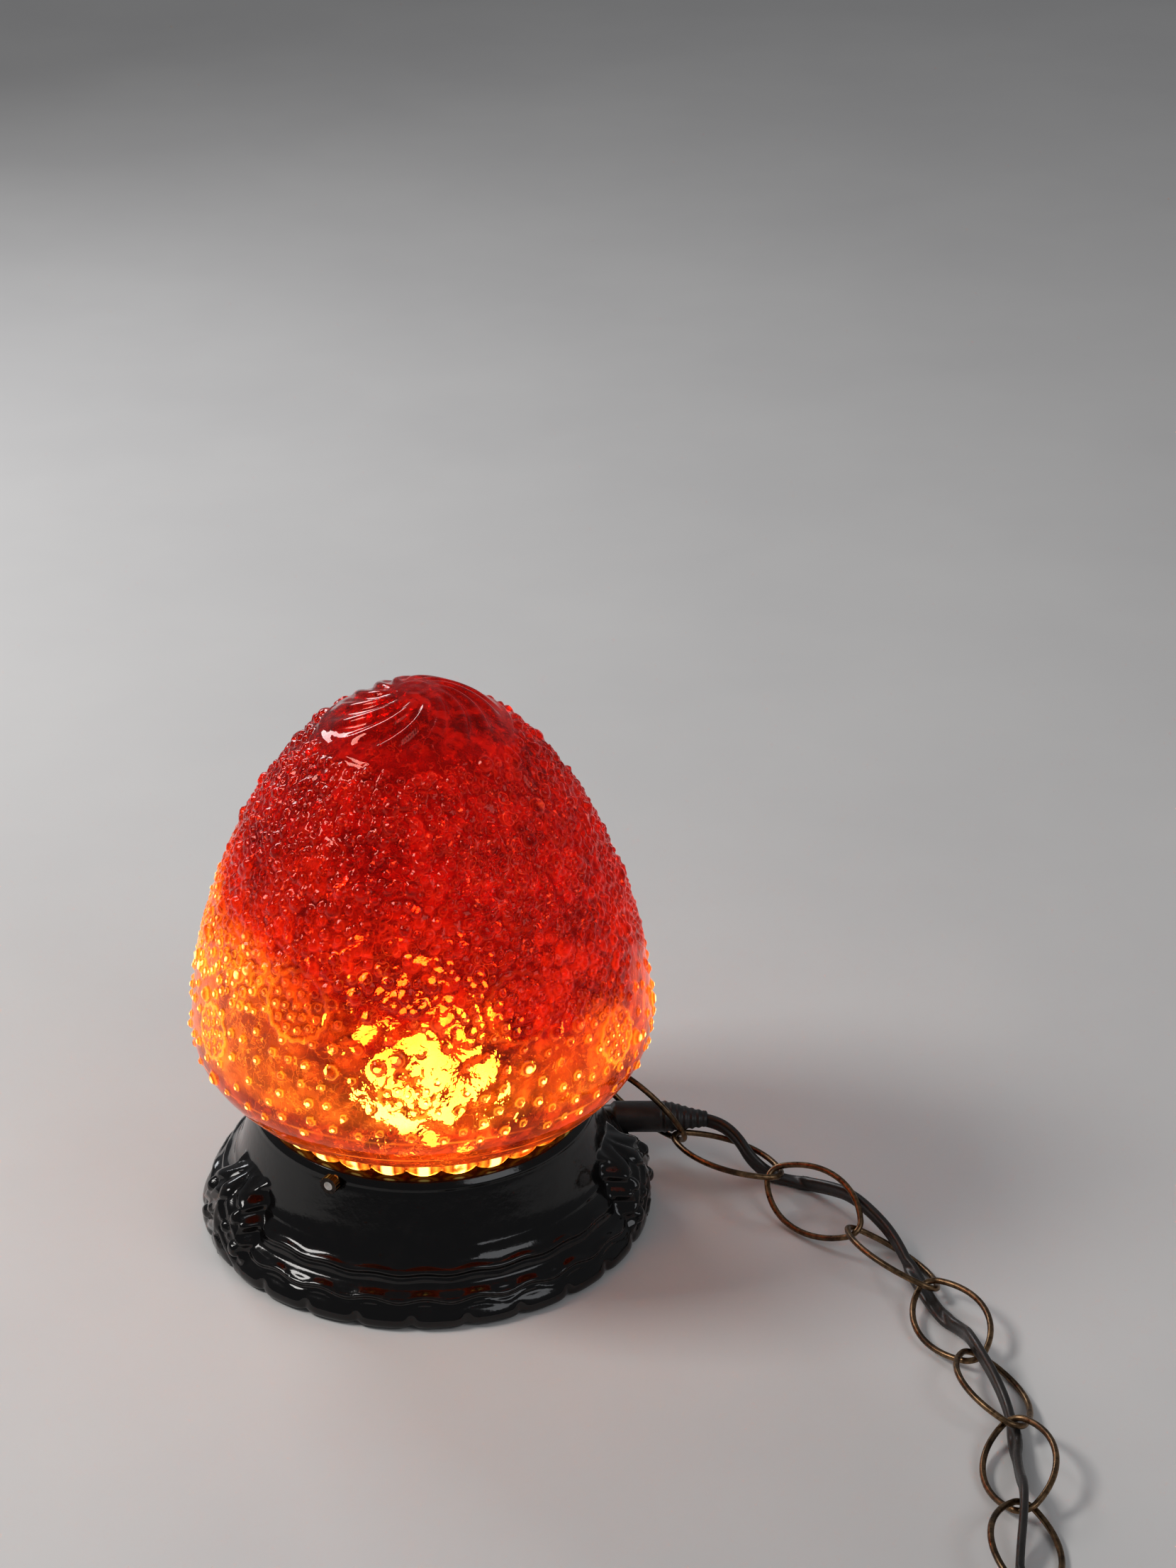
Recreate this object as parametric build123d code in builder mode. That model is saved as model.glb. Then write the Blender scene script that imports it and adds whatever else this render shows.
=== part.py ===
"""Small table lamp: a pressed-glass dome shade on a hollow cast base, with a candelabra
lampholder and round bulb inside, and a mains cord threaded through a chain of oval links.

Frame: +Z up, origin at the centre of the base's underside, -Y towards the front of the lamp,
millimetres.  The base stands on its felt pad at z = 0.
"""
from build123d import *
import math
import os

os.makedirs("parts", exist_ok=True)

# ------------------------------------------------------------------ driving dimensions
# base casting
foot_r = 75.0            # scalloped foot, over the petals
rim_top_z = 44.0         # top edge of the drum, under the glass beads
rim_bore_r = 47.0        # opening that the glass neck drops into
web_z0, web_z1 = 7.0, 9.5   # floor web that carries the lampholder
petals = 26              # scallops around the foot
# glass shade
neck_r = 45.6            # outside of the glass neck
neck_in_r = 41.6
neck_z0 = 38.5
bead_ring_r = 50.9       # centre line of the beaded rim
bead_r = 5.1
bead_z = 49.5
shade_top_z = 190.5
glass_t = 3.6
# lampholder and bulb (candelabra size, 10 threads to the inch)
pipe_r, pipe_bore_r = 4.9, 3.2
shell_in_r = 6.35
bulb_base_r = 6.0
bulb_r = 18.0
bulb_z = 49.5
# cord and strain relief
cord_d = 4.4
relief_y, relief_z = 28.6, 15.0
# chain
wire_d = 2.0
link_l, link_w, link_end_r = 41.0, 22.6, 5.0      # centre line of a link
felt_t = 1.2
plate_t = 1.2


def save(part, name):
    part.label = name
    export_step(part, f"parts/{name}.step")


# ------------------------------------------------------------------ base casting
# Skirt profile, from the underside of the foot up the outside, over the rim and down the bowl.
skirt = [
    (67.2, 0.4), (72.6, 0.4), (74.6, 1.2), (75.0, 3.4), (73.6, 6.0), (71.6, 8.4),
    (71.8, 10.2), (70.6, 11.8), (68.2, 13.0), (67.4, 14.8), (67.5, 16.6), (66.2, 18.2),
    (64.2, 20.0), (61.9, 25.0), (59.6, 31.0), (57.6, 38.0), (56.0, 42.2), (54.6, rim_top_z),
    (rim_bore_r + 1.0, rim_top_z), (rim_bore_r, rim_top_z - 1.0), (rim_bore_r, 35.5),
    (50.0, 31.0), (52.6, 24.0), (55.0, 16.0), (56.0, web_z1 + 2.0), (54.0, web_z1),
    (5.2, web_z1), (5.2, web_z0), (58.0, web_z0), (60.0, 5.6), (60.0, 2.4), (67.2, 2.4),
]
with BuildPart() as base_casting:
    with BuildSketch(Plane.XZ) as prof:
        with BuildLine():
            Polyline(*skirt, close=True)
        make_face()
    revolve(axis=Axis.Z)
    # petals of the foot's edge
    with BuildSketch(Plane.XY) as notch:
        with PolarLocations(foot_r + 2.3, petals):
            Circle(3.1)
    extrude(amount=7.6, mode=Mode.SUBTRACT)
    # carved brackets on the skirt: two towards the front and one behind
    for a0, half in ((-8.5, 14.0), (205.5, 14.0), (98.5, 14.0)):
        with BuildSketch(Plane.XZ.rotated((0, 0, a0 - half))) as lobe:
            with BuildLine():
                Polyline((68.5, 1.0), (74.4, 1.0), (75.2, 8.0), (74.7, 16.0), (72.8, 21.5),
                         (69.6, 25.4), (64.5, 28.0), (58.5, 28.0), (61.0, 14.0), (68.5, 4.0), close=True)
            make_face()
        revolve(axis=Axis.Z, revolution_arc=2 * half)
    # cord entry, along X through the skirt
    with BuildSketch(Plane.YZ.offset(44.0)) as entry:
        with Locations((relief_y, relief_z)):
            Circle(4.2)
    extrude(amount=40.0, mode=Mode.SUBTRACT)
    # tapped holes for the three shade screws
    for a in (-118.0, 2.0, 122.0):
        pl = Plane(origin=(44 * math.cos(math.radians(a)), 44 * math.sin(math.radians(a)), 41.0),
                   z_dir=(math.cos(math.radians(a)), math.sin(math.radians(a)), 0))
        with BuildSketch(pl) as tap:
            Circle(1.55)
        extrude(amount=16.0, mode=Mode.SUBTRACT)
    # blind hole for the chain eye
    e_a = math.radians(32.0)
    pl = Plane(origin=(53.0 * math.cos(e_a), 53.0 * math.sin(e_a), 32.0),
               z_dir=(math.cos(e_a), math.sin(e_a), 0))
    with BuildSketch(pl) as eyehole:
        Circle(1.5)
    extrude(amount=12.0, mode=Mode.SUBTRACT)
    # holes for the bottom plate's screws
    with BuildSketch(Plane.XY.offset(2.0)) as plate_holes:
        with PolarLocations(63.6, 3, start_angle=60):
            Circle(1.25)
    extrude(amount=4.6, mode=Mode.SUBTRACT)
save(base_casting.part, "base_casting")

# ------------------------------------------------------------------ underside
with BuildPart() as bottom_plate:
    with BuildSketch(Plane.XY.offset(felt_t)):
        Circle(66.9)
        Circle(9.0, mode=Mode.SUBTRACT)
        with PolarLocations(63.6, 3, start_angle=60):
            Circle(1.6, mode=Mode.SUBTRACT)
    extrude(amount=plate_t)
save(bottom_plate.part, "bottom_plate")

with BuildPart() as plate_screws:
    with BuildSketch(Plane.XY.offset(felt_t)):
        with PolarLocations(63.6, 3, start_angle=60):
            Circle(1.2)
    extrude(amount=4.6)
    with BuildSketch(Plane.XY.offset(0.45)):
        with PolarLocations(63.6, 3, start_angle=60):
            Circle(2.4)
    extrude(amount=felt_t - 0.45)
save(plate_screws.part, "plate_screws")

with BuildPart() as felt_pad:
    with BuildSketch(Plane.XY):
        Circle(66.4)
        with PolarLocations(63.6, 3, start_angle=60):
            Circle(2.7, mode=Mode.SUBTRACT)
    extrude(amount=felt_t)
save(felt_pad.part, "felt_pad")

# ------------------------------------------------------------------ lamp pipe and its nut
with BuildPart() as lamp_pipe:
    with BuildSketch(Plane.XY.offset(2.9)):
        Circle(pipe_r)
        Circle(pipe_bore_r, mode=Mode.SUBTRACT)
    extrude(amount=8.7)
save(lamp_pipe.part, "lamp_pipe")

with BuildPart() as lock_washer:
    with BuildSketch(Plane.XY.offset(6.1)):
        Circle(9.0)
        Circle(5.0, mode=Mode.SUBTRACT)
    extrude(amount=0.9)
save(lock_washer.part, "lock_washer")

with BuildPart() as lock_nut:
    with BuildSketch(Plane.XY.offset(3.3)):
        RegularPolygon(7.9, 6)
        Circle(4.95, mode=Mode.SUBTRACT)
    extrude(amount=2.8)
save(lock_nut.part, "lock_nut")

# ------------------------------------------------------------------ lampholder
with BuildPart() as socket_cap:
    with BuildSketch(Plane.XZ):
        with BuildLine():
            Polyline((4.95, 9.5), (11.4, 9.5), (12.4, 10.6), (12.4, 18.5), (11.6, 18.5), (11.6, 11.0),
                     (5.8, 11.0), (5.8, 11.6), (4.95, 11.6), close=True)
        make_face()
    revolve(axis=Axis.Z)
    # slots that the lampholder's wires come in through
    with BuildSketch(Plane.XY.offset(11.1)):
        with Locations((12.0, 3.3), (12.0, -3.3)):
            Rectangle(3.0, 2.4)
    extrude(amount=2.4, mode=Mode.SUBTRACT)
save(socket_cap.part, "socket_cap")

with BuildPart() as socket_insulator:
    with BuildSketch(Plane.XY.offset(13.2)):
        Circle(11.0)
        with Locations((0, 0)):
            Circle(1.3, mode=Mode.SUBTRACT)
        with Locations((6.9, 3.3), (6.9, -3.3)):
            Circle(1.0, mode=Mode.SUBTRACT)
    extrude(amount=2.8)
save(socket_insulator.part, "socket_insulator")

with BuildPart() as screw_shell:
    with BuildSketch(Plane.XZ):
        with BuildLine():
            Polyline((4.2, 16.0), (6.75, 16.0), (6.75, 31.4), (7.6, 32.4), (7.35, 32.7), (shell_in_r, 31.6),
                     (shell_in_r, 16.45), (4.2, 16.45), close=True)
        make_face()
    revolve(axis=Axis.Z)
save(screw_shell.part, "screw_shell")

with BuildPart() as socket_sleeve:
    with BuildSketch(Plane.XZ):
        with BuildLine():
            Polyline((9.3, 16.0), (11.5, 16.0), (11.5, 32.4), (11.1, 32.8), (8.4, 32.8), (8.4, 32.2), (9.3, 31.8), close=True)
        make_face()
    revolve(axis=Axis.Z)
save(socket_sleeve.part, "socket_sleeve")

with BuildPart() as centre_contact:
    # rivet through the insulator with a sprung tongue above it
    with BuildSketch(Plane.XY.offset(13.2)):
        Circle(1.25)
    extrude(amount=3.2)
    with BuildSketch(Plane.XZ):
        with BuildLine():
            Polyline((-2.6, 16.0), (2.0, 16.0), (2.0, 16.5), (-1.6, 16.5), (-0.9, 17.0), (2.0, 17.9), (1.9, 18.4),
                     (-1.4, 17.5), (-2.6, 16.7), close=True)
        make_face()
    extrude(amount=1.5, both=True)
save(centre_contact.part, "centre_contact")

with BuildPart() as terminal_screws:
    with BuildSketch(Plane.XY.offset(12.9)):
        with Locations((6.9, 3.3), (6.9, -3.3)):
            Circle(0.95)
    extrude(amount=2.9)
    with BuildSketch(Plane.XY.offset(11.9)):
        with Locations((6.9, 3.3), (6.9, -3.3)):
            Circle(1.7)
    extrude(amount=1.0)
save(terminal_screws.part, "terminal_screws")

# ------------------------------------------------------------------ bulb
# rotationally symmetric tip: black glass insulator and soldered contact
with BuildPart() as bulb_tip:
    with BuildSketch(Plane.XZ):
        with BuildLine():
            Polyline((0, 18.75), (1.5, 18.75), (1.9, 19.1), (1.9, 19.5), (4.4, 20.9), (4.4, 21.6), (0, 21.6), close=True)
        make_face()
    revolve(axis=Axis.Z)
save(bulb_tip.part, "bulb_tip")

with BuildPart() as bulb_base:
    with BuildSketch(Plane.XZ):
        with BuildLine():
            Polyline((4.45, 20.95), (5.6, 21.4), (bulb_base_r, 22.0), (bulb_base_r, 31.4), (5.9, 32.0), (5.5, 32.0),
                     (5.5, 22.2), (5.2, 21.75), (4.45, 21.6), close=True)
        make_face()
    revolve(axis=Axis.Z)
save(bulb_base.part, "bulb_base")

n_z = bulb_z - math.sqrt(bulb_r ** 2 - 8.0 ** 2)       # where the globe meets its neck
with BuildPart() as bulb_glass:
    with BuildSketch(Plane.XZ):
        with BuildLine() as gl:
            a = Line((5.40, 28.6), (5.40, n_z - 1.2))
            b = Line(a @ 1, (8.0, n_z + 0.6))
            t0 = math.asin((bulb_z - (n_z + 0.6)) / bulb_r)
            s0 = (bulb_r * math.cos(t0), n_z + 0.6)
            c0 = Line(b @ 1, s0)
            c = ThreePointArc(s0, (bulb_r * math.cos(0.25), bulb_z + bulb_r * math.sin(0.25)), (0, bulb_z + bulb_r))
            d = Line(c @ 1, (0, bulb_z + bulb_r - 0.7))
            ri = bulb_r - 0.7
            t1 = math.asin((bulb_z - (n_z + 1.6)) / ri)
            e = ThreePointArc(d @ 1, (ri * math.cos(0.25), bulb_z + ri * math.sin(0.25)), (ri * math.cos(t1), n_z + 1.6))
            f = Line(e @ 1, (4.7, n_z - 0.6))
            g = Line(f @ 1, (4.7, 28.6))
            h = Line(g @ 1, a @ 0)
        make_face()
    revolve(axis=Axis.Z)
save(bulb_glass.part, "bulb_glass")

with BuildPart() as bulb_stem:
    with BuildSketch(Plane.XZ):
        with BuildLine():
            Polyline((0, 28.6), (4.6, 28.6), (4.6, 29.4), (2.0, 32.0), (1.6, 40.5), (1.1, 41.4), (0, 41.4), close=True)
        make_face()
    revolve(axis=Axis.Z)
save(bulb_stem.part, "bulb_stem")

# two support wires and the coiled filament as a slim bent rod
with BuildPart() as support_wires:
    for s in (-1, 1):
        with BuildLine() as w_line:
            FilletPolyline((s * 0.9, 0, 41.5), (s * 1.6, 0, 44.2), (s * 5.4, 0, 49.4), radius=2.0)
        with BuildSketch(Plane(origin=w_line.line @ 0, z_dir=w_line.line % 0)):
            Circle(0.22)
        sweep()
save(support_wires.part, "support_wires")

with BuildPart() as filament:
    with BuildLine() as f_line:
        FilletPolyline((-5.4, 0, 49.95), (-2.8, 0, 51.1), (0, 0, 50.6), (2.8, 0, 51.1), (5.4, 0, 49.95), radius=2.2)
    with BuildSketch(Plane(origin=f_line.line @ 0, z_dir=f_line.line % 0)):
        Circle(0.35)
    sweep()
save(filament.part, "filament")

# ------------------------------------------------------------------ glass shade
# Outer profile of the pressed glass, (radius, height), above the beaded rim.
outer = [(57.2, 52.6), (63.0, 54.6), (67.2, 58.0), (70.6, 62.0), (73.0, 66.0), (74.3, 70.0), (74.9, 75.0),
         (74.7, 80.0), (74.0, 86.0), (72.9, 93.0), (71.4, 101.0), (69.0, 110.0), (65.7, 120.0), (61.8, 130.0),
         (57.3, 140.0), (52.2, 150.0), (46.2, 159.0), (40.0, 167.0), (33.6, 174.0), (26.6, 180.0),
         (19.0, 185.2), (10.0, 189.2), (0.0, shade_top_z)]


def inset(pts, t):
    """The same profile moved inwards by t, square to itself."""
    res = []
    for i, (r, z) in enumerate(pts):
        r0, z0 = pts[max(i - 1, 0)]
        r1, z1 = pts[min(i + 1, len(pts) - 1)]
        dr, dz = r1 - r0, z1 - z0
        n = math.hypot(dr, dz)
        res.append((r - t * dz / n, z + t * dr / n))
    return res


inner = inset(outer, glass_t)[:-1] + [(0.0, shade_top_z - glass_t)]
inner = [(r, z) for r, z in inner if z > 58.5 or r < 40]
with BuildPart() as glass_shade:
    with BuildSketch(Plane.XZ):
        with BuildLine() as sh:
            o = Spline(*outer, tangents=[(1, 0.28), (-1, 0)])
            top = Line(o @ 1, inner[-1])
            i_ = Spline(*reversed(inner), tangents=[(1, 0), (-0.55, -0.84)])
            Polyline(i_ @ 1, (61.0, 58.4), (54.0, 55.2), (neck_in_r + 1.2, 52.6), (neck_in_r, 50.0),
                     (neck_in_r, neck_z0 + 0.6), (neck_in_r + 0.6, neck_z0), (neck_r - 0.6, neck_z0),
                     (neck_r, neck_z0 + 0.6), (neck_r, 46.2), o @ 0)
        make_face()
    revolve(axis=Axis.Z)
    # rim that carries the beads, standing 0.3 mm over the drum's edge
    with BuildSketch(Plane.XZ):
        with Locations((bead_ring_r, bead_z)):
            Circle(bead_r)
    revolve(axis=Axis.Z)
save(glass_shade.part, "glass_shade")

# ------------------------------------------------------------------ shade screws
for k, a in enumerate((-118.0, 2.0, 122.0), start=1):
    ca, sa = math.cos(math.radians(a)), math.sin(math.radians(a))
    with BuildPart() as shank:
        with BuildSketch(Plane(origin=(46.0 * ca, 46.0 * sa, 41.0), z_dir=(ca, sa, 0))):
            Circle(1.5)
        extrude(amount=14.6)
    save(shank.part, f"shade_screw_shank_{k}")
    with BuildPart() as head:
        with BuildSketch(Plane(origin=(58.0 * ca, 58.0 * sa, 41.0), z_dir=(ca, sa, 0))):
            Circle(3.0)
            with PolarLocations(3.15, 16):
                Circle(0.35, mode=Mode.SUBTRACT)
            Circle(1.55, mode=Mode.SUBTRACT)
        extrude(amount=2.6)
    save(head.part, f"shade_screw_head_{k}")

# ------------------------------------------------------------------ strain relief, leads
with BuildPart() as strain_relief:
    with BuildSketch(Plane.YZ.offset(46.0)):
        with Locations((relief_y, relief_z)):
            Circle(4.15)
    extrude(amount=17.0)
    with BuildSketch(Plane.YZ.offset(62.0)):
        with Locations((relief_y, relief_z)):
            Circle(5.3)
    extrude(amount=18.0)
    with BuildSketch(Plane.YZ.offset(80.0)) as s0:
        with Locations((relief_y, relief_z)):
            Circle(5.3)
    with BuildSketch(Plane.YZ.offset(94.5)) as s1:
        with Locations((28.4, 14.2)):
            Circle(2.9)
    loft()
save(strain_relief.part, "strain_relief")

for name, pts in (
    ("lead_live", [(46.0, 30.2, 15.0), (36.0, 29.5, 13.6), (21.0, 14.0, 12.3), (15.4, 3.3, 12.3), (8.75, 3.3, 12.3)]),
    ("lead_neutral", [(46.0, 27.0, 15.0), (36.5, 23.0, 13.2), (24.0, 0.5, 12.3), (16.0, -3.3, 12.3), (8.75, -3.3, 12.3)]),
):
    with BuildPart() as lead:
        with BuildLine() as l_line:
            FilletPolyline(*pts, radius=[5.0, 5.0, 3.5])
        with BuildSketch(Plane(origin=l_line.line @ 0, z_dir=l_line.line % 0)):
            Circle(0.75)
        sweep()
    save(lead.part, name)

# ------------------------------------------------------------------ chain
# Joints between the oval links, and each link's roll about its own long axis (degrees, the
# side towards +Y raised).
chain_joints = [
    (56, 38, 30), (85.69, 21.93, 11.28), (116.08, 1.8, 9.49), (141.24, -27.31, 6.75),
    (163.66, -58.73, 6.15), (173.67, -93.15, 4.79), (182.52, -130.22, 6.71), (181.63, -167.34, 5.05),
    (178.27, -205.75, 5.69),
]
chain_rolls = [-62.5, -10.6, 31.8, -28.5, 13.0, -24.0, 20.0, -22.4]


def sub(a, b):
    return tuple(x - y for x, y in zip(a, b))


def unit(a):
    n = math.sqrt(sum(x * x for x in a))
    return tuple(x / n for x in a)


def cross(a, b):
    return (a[1] * b[2] - a[2] * b[1], a[2] * b[0] - a[0] * b[2], a[0] * b[1] - a[1] * b[0])


hl, hw, er = link_l / 2, link_w / 2, link_end_r
side_c = ((hl - er) ** 2 - (hw - er) ** 2) / (2 * (hw - er))      # centre of a long side's arc
side_r = side_c + hw
a0 = math.atan2(side_c, hl - er)
ex, ey = hl - er + er * math.cos(a0), er * math.sin(a0)          # where end and side arcs meet
with BuildPart() as one_link:
    with BuildLine() as oval:
        ThreePointArc((ex, -ey), (hl, 0), (ex, ey))
        ThreePointArc((ex, ey), (0, hw), (-ex, ey))
        ThreePointArc((-ex, ey), (-hl, 0), (-ex, -ey))
        ThreePointArc((-ex, -ey), (0, -hw), (ex, -ey))
    with BuildSketch(Plane(origin=(0, hw, 0), z_dir=(1, 0, 0))):
        Circle(wire_d / 2)
    sweep(path=oval.wire())

places = []
for p, q, roll in zip(chain_joints, chain_joints[1:], chain_rolls):
    u = unit(sub(q, p))
    s = unit(cross((0, 0, 1), u))
    n = cross(u, s)
    c_, s_ = math.cos(math.radians(roll)), math.sin(math.radians(roll))
    v = tuple(a * c_ + b * s_ for a, b in zip(s, n))
    m = tuple((a + b) / 2 for a, b in zip(p, q))
    places.append(Plane(origin=m, x_dir=u, z_dir=cross(u, v)))
with BuildPart() as chain_links:
    with Locations(*places):
        add(one_link.part)
save(chain_links.part, "chain_links")

# screw eye in the drum that the first link hangs from
eye_a, eye_r, eye_z, eye_ring = math.radians(32.0), 64.5, 32.0, 5.0
e_r = (math.cos(eye_a), math.sin(eye_a), 0.0)
e_t = (-math.sin(eye_a), math.cos(eye_a), 0.0)
w_ = tuple(a * math.cos(math.radians(80)) + b * math.sin(math.radians(80)) for a, b in zip(e_t, (0, 0, 1)))
e_c = (eye_r * e_r[0], eye_r * e_r[1], eye_z)
with BuildPart() as chain_eye:
    with BuildSketch(Plane(origin=tuple(a + eye_ring * b for a, b in zip(e_c, e_r)), z_dir=w_)) as es:
        Circle(wire_d / 2)
    revolve(axis=Axis(e_c, cross(e_r, w_)))
    with BuildSketch(Plane(origin=(53.2 * e_r[0], 53.2 * e_r[1], eye_z), z_dir=e_r)):
        Circle(1.4)
    extrude(amount=eye_r - eye_ring - 53.2 + 0.3)
save(chain_eye.part, "chain_eye")

# ------------------------------------------------------------------ cord
# Route of the free cord from the strain relief, through the links, to the coil.
cord_route = [
    (92, 29, 14), (99.7, 25.6, 13.6), (105, 19.3, 12), (109.3, 14.1, 6.6),
    (116.6, 11.6, 2.4), (125.8, 8.4, 2.4), (134.9, -1.6, 5.9), (141.2, -11.5, 9.7),
    (148, -20.9, 8.7), (154.3, -30.2, 5.6), (158.8, -43.1, 2.5), (162.4, -56.4, 2.4),
    (166.4, -68.8, 2.5), (172.3, -80, 4), (173.2, -90.2, 9.3), (179.8, -111.3, 7.4),
    (183.2, -125.2, 2.4), (181.9, -149.5, 3.4), (181.7, -167.9, 11.1), (176.9, -194.3, 2.5),
    (176.6, -214.1, 2.4), (181, -229, 2.6), (180.4, -238, 2.8),
]
tail_route = [(141.0, -270.4, 2.4), (129.0, -269.0, 2.9), (117.8, -264.6, 5.0), (108.0, -262.4, 7.2), (99.0, -262.0, 8.2)]
coil_c, coil_r = (152.6, -243.0), 24.0


def radii(pts):
    """One fillet radius for each corner: 0.45 of the shorter run over the tangent of half the turn."""
    res = []
    for p, q, t in zip(pts, pts[1:], pts[2:]):
        a, b = Vector(q) - Vector(p), Vector(t) - Vector(q)
        turn = math.radians(a.get_angle(b))
        res.append(0.45 * min(a.length, b.length) / math.tan(turn / 2))
    return res


for name, pts in (("cord_run", cord_route), ("cord_tail", tail_route)):
    rr = radii(pts)
    print(name, "radii", [round(x, 1) for x in rr])
    with BuildPart() as tube:
        with BuildLine() as t_line:
            FilletPolyline(*pts, radius=rr)
        with BuildSketch(Plane(origin=t_line.line @ 0, z_dir=t_line.line % 0)):
            Circle(cord_d / 2)
        sweep()
    print(name, "volume", round(tube.part.volume), "section x length",
          round(math.pi * cord_d ** 2 / 4 * t_line.wire().length), "length", round(t_line.wire().length, 1))
    save(tube.part, name)

# the put-away length: nine turns, three wide and three high
with BuildPart() as cord_coil:
    with BuildSketch(Plane.XZ.offset(-coil_c[1])):
        with Locations((coil_c[0] + coil_r, 6.8)):
            RectangleRounded(13.2, 13.2, 2.1)
    revolve(axis=Axis((coil_c[0], coil_c[1], 0), (0, 0, 1)))
save(cord_coil.part, "cord_coil")

# ------------------------------------------------------------------ plug
with BuildPart() as plug_body:
    with BuildSketch(Plane.YZ.offset(62.0)):
        with Locations((-262.0, 8.2)):
            RectangleRounded(24.0, 16.0, 5.0)
    extrude(amount=20.0)
    with BuildSketch(Plane.YZ.offset(82.0)) as q0:
        with Locations((-262.0, 8.2)):
            RectangleRounded(24.0, 16.0, 5.0)
    with BuildSketch(Plane.YZ.offset(90.0)) as q1:
        with Locations((-262.0, 8.2)):
            RectangleRounded(11.0, 10.0, 4.0)
    loft()
    with BuildSketch(Plane.YZ.offset(89.0)) as q2:
        with Locations((-262.0, 8.2)):
            Circle(4.0)
    with BuildSketch(Plane.YZ.offset(99.0)) as q3:
        with Locations((-262.0, 8.2)):
            Circle(2.9)
    loft()
    with BuildSketch(Plane.YZ.offset(62.0)):
        with Locations((-268.35, 8.2), (-255.65, 8.2)):
            Rectangle(1.5, 6.4)
    extrude(amount=8.0, mode=Mode.SUBTRACT)
save(plug_body.part, "plug_body")

with BuildPart() as plug_blades:
    with BuildSketch(Plane.YZ.offset(45.5)):
        with Locations((-268.35, 8.2), (-255.65, 8.2)):
            Rectangle(1.5, 6.4)
    extrude(amount=24.5)
    with BuildSketch(Plane.XZ.offset(250.0)):
        with Locations((49.0, 8.2)):
            Circle(1.6)
    extrude(amount=25.0, mode=Mode.SUBTRACT)
save(plug_blades.part, "plug_blades")
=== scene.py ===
import math

import bpy
import numpy as np
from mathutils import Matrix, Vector


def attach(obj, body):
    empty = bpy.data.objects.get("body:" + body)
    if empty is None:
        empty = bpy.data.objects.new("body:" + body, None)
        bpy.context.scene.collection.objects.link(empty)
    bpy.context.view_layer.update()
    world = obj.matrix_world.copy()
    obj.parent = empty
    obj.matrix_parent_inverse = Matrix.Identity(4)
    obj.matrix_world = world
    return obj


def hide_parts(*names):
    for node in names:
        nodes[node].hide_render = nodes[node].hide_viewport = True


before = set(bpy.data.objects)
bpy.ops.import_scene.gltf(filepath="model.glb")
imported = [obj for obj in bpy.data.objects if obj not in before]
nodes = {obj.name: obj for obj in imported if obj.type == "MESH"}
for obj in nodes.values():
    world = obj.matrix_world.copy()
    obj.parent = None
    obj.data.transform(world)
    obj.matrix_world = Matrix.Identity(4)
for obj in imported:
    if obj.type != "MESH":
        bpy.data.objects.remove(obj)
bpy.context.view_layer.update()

MM = 0.001
rng = np.random.RandomState(11)
scene = bpy.context.scene

# ------------------------------------------------------------------ camera and lights
cam_data = bpy.data.cameras.new("camera")
cam_data.lens, cam_data.sensor_width, cam_data.sensor_fit = 80.07, 36.0, "AUTO"
cam_data.clip_start, cam_data.clip_end = 0.05, 20.0
camera = bpy.data.objects.new("camera", cam_data)
scene.collection.objects.link(camera)
camera.location = (0.05393, -0.98099, 0.65532)
camera.rotation_euler = (math.radians(63.06), 0.0, 0.0)
scene.camera = camera


def area_light(name, at, aim, size, power, colour):
    data = bpy.data.lights.new(name, "AREA")
    data.shape, data.size, data.size_y = "RECTANGLE", size[0], size[1]
    data.energy, data.color = power, colour
    ob = bpy.data.objects.new(name, data)
    scene.collection.objects.link(ob)
    ob.location = at
    ob.rotation_euler = (Vector(aim) - Vector(at)).to_track_quat("-Z", "Y").to_euler()
    return ob


area_light("key", (-0.80, -0.10, 0.90), (0, 0, 0.06), (0.42, 0.30), 6.6, (1.0, 0.97, 0.94))
area_light("fill", (0.85, -0.75, 0.85), (0.05, 0, 0.05), (0.7, 0.5), 2.6, (0.94, 0.96, 1.0))
area_light("rim", (-0.55, 0.85, 0.65), (0, 0, 0.10), (0.40, 0.25), 3.2, (0.96, 0.97, 1.0))
world = bpy.data.worlds.new("studio")
scene.world = world
world.use_nodes = True
world.node_tree.nodes["Background"].inputs["Color"].default_value = (0.80, 0.82, 0.86, 1)
world.node_tree.nodes["Background"].inputs["Strength"].default_value = 0.19
scene.view_settings.view_transform = "Standard"


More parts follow.
